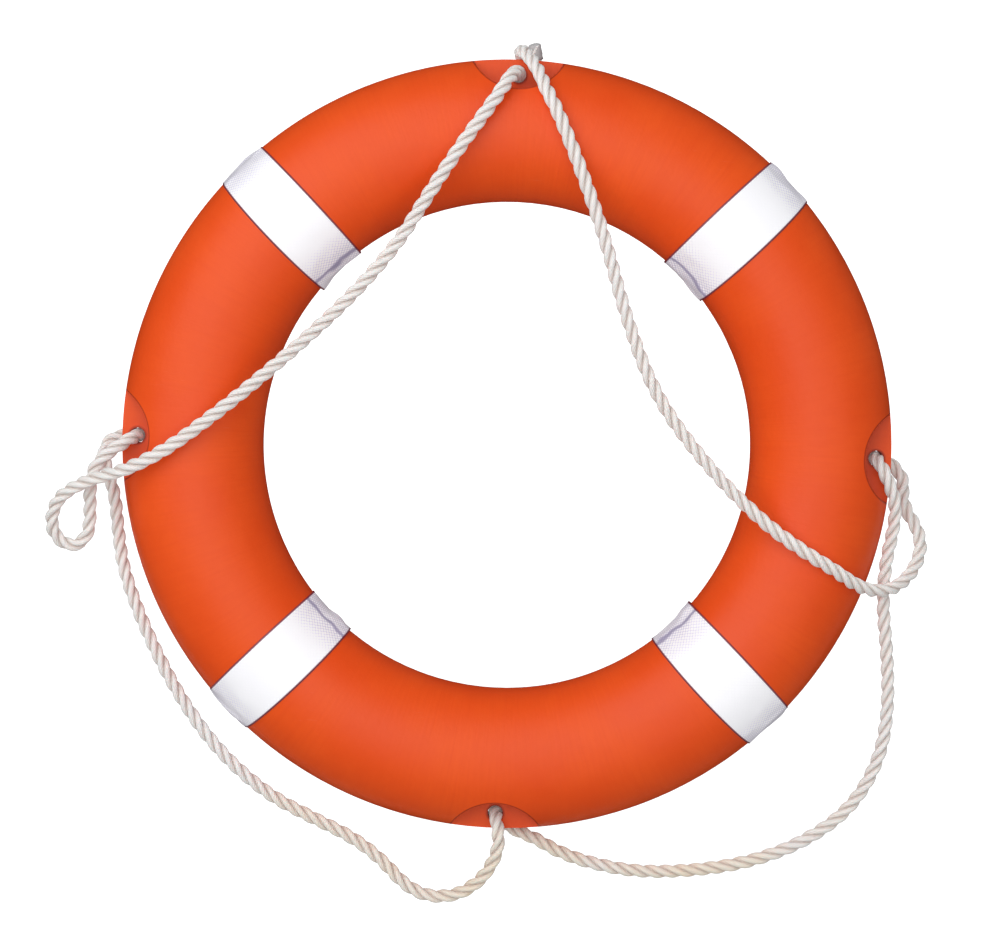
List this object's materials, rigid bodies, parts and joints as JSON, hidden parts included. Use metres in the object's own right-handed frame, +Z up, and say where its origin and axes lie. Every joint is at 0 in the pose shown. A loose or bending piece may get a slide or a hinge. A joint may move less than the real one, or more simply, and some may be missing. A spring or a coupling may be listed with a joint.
{
  "type": "ring lifebuoy",
  "caption": "Ring lifebuoy: a hollow orange shell filled with foam, with white reflective bands and a grab line threaded round it in loose loops.",
  "frame": {"origin": "top of the inner rim, on the middle plane, where the ring hangs on its hook", "axes": "+Z up as it hangs; the ring's axis is along Y and its front faces -Y; +X to the right seen from the front"},
  "size_m": [0.8131, 0.1306, 0.8029],
  "materials": {
    "shell_orange": "satin",
    "plug_orange": "satin",
    "foam": "matte",
    "reflective_tape": "satin",
    "rope": "matte",
    "seal_grey": "satin"
  },
  "bodies": {
    "root": {"front_shell": "shell_orange", "back_shell": "shell_orange", "foam_core": "foam", "foam_fill_plug": "plug_orange", "vent_plug": "plug_orange", "reflective_tape_upper_right": "reflective_tape", "reflective_tape_upper_left": "reflective_tape", "reflective_tape_lower_left": "reflective_tape", "reflective_tape_lower_right": "reflective_tape", "grab_line": "rope", "grab_line_knot": "rope", "grab_line_tail_upper": "rope", "grab_line_tail_side": "rope", "end_seal_upper": "seal_grey", "end_seal_side": "seal_grey"}
  },
  "joints": []
}
